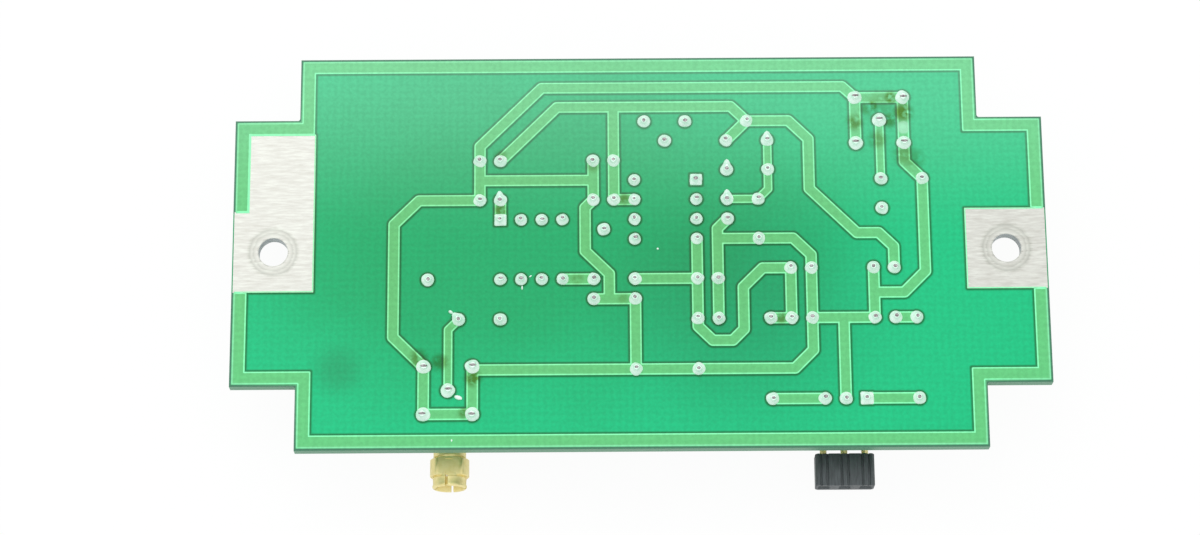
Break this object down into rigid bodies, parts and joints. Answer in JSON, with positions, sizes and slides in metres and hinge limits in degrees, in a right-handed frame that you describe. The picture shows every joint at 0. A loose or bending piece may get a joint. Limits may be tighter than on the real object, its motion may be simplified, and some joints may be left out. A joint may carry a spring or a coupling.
{
  "type": "interface board",
  "caption": "Small two-sided circuit board with notched corners, solder side up, two mounting holes in bare lands, and coaxial and supply connectors.",
  "frame": {"origin": "midway between the two mounting holes, on the component-side face of the laminate", "axes": "+X along the board, +Y across it away from the edge connectors, +Z out of the solder side"},
  "size_m": [0.1, 0.0537, 0.0112],
  "materials": {
    "laminate": "green solder mask over glass-epoxy laminate, satin",
    "masked_copper": "copper under green solder mask, satin",
    "tinned_copper": "hot-tinned copper, dull and slightly uneven",
    "solder": "tin-lead solder, bright",
    "tinned_wire": "tinned copper wire, satin",
    "black_moulding": "moulded epoxy, matt",
    "black_housing": "glass-filled moulding, matt with fine ribs",
    "gold_plate": "gold plating on machined brass, bright",
    "ptfe": "white insulator, waxy",
    "ceramic_dip": "dipped resin coat, glossy",
    "bead_dip": "dipped resin coat, glossy",
    "resistor_coat": "lacquered coat with colour bands",
    "choke_moulding": "moulded barrel, satin"
  },
  "bodies": {
    "root": {"amplifier_a": "black_moulding", "amplifier_a_pins": "tinned_wire", "amplifier_b": "black_moulding", "amplifier_b_pins": "tinned_wire", "bead_capacitor_1": "bead_dip", "bead_capacitor_2": "bead_dip", "capacitor_leads": "tinned_wire", "ceramic_capacitor_1": "ceramic_dip", "ceramic_capacitor_10": "ceramic_dip", "ceramic_capacitor_11": "ceramic_dip", "ceramic_capacitor_2": "ceramic_dip", "ceramic_capacitor_3": "ceramic_dip", "ceramic_capacitor_4": "ceramic_dip", "ceramic_capacitor_5": "ceramic_dip", "ceramic_capacitor_6": "ceramic_dip", "ceramic_capacitor_7": "ceramic_dip", "ceramic_capacitor_8": "ceramic_dip", "ceramic_capacitor_9": "ceramic_dip", "choke_1": "choke_moulding", "choke_2": "choke_moulding", "choke_leads": "tinned_wire", "coax_in_contact": "gold_plate", "coax_in_insulator": "ptfe", "coax_in_shell": "gold_plate", "coax_in_sleeve": "gold_plate", "coax_out_contact": "gold_plate", "coax_out_insulator": "ptfe", "coax_out_shell": "gold_plate", "coax_out_sleeve": "gold_plate", "component_copper": "masked_copper", "earth_band": "masked_copper", "earth_copper": "masked_copper", "laminate": "laminate", "left_land": "tinned_copper", "lone_pads": "masked_copper", "negative_copper": "masked_copper", "positive_copper": "masked_copper", "resistor_1": "resistor_coat", "resistor_2": "resistor_coat", "resistor_3": "resistor_coat", "resistor_4": "resistor_coat", "resistor_leads": "tinned_wire", "right_land": "tinned_copper", "signal_copper": "masked_copper", "socket_contacts": "gold_plate", "socket_housing": "black_housing", "solder_amplifier_a": "solder", "solder_amplifier_b": "solder", "solder_capacitors": "solder", "solder_coax_in": "solder", "solder_coax_out": "solder", "solder_feedthroughs": "solder", "solder_resistors": "solder", "solder_socket": "solder", "solder_transistor": "solder", "transistor": "black_moulding", "transistor_leads": "tinned_wire", "upright_resistor": "resistor_coat"}
  },
  "joints": []
}
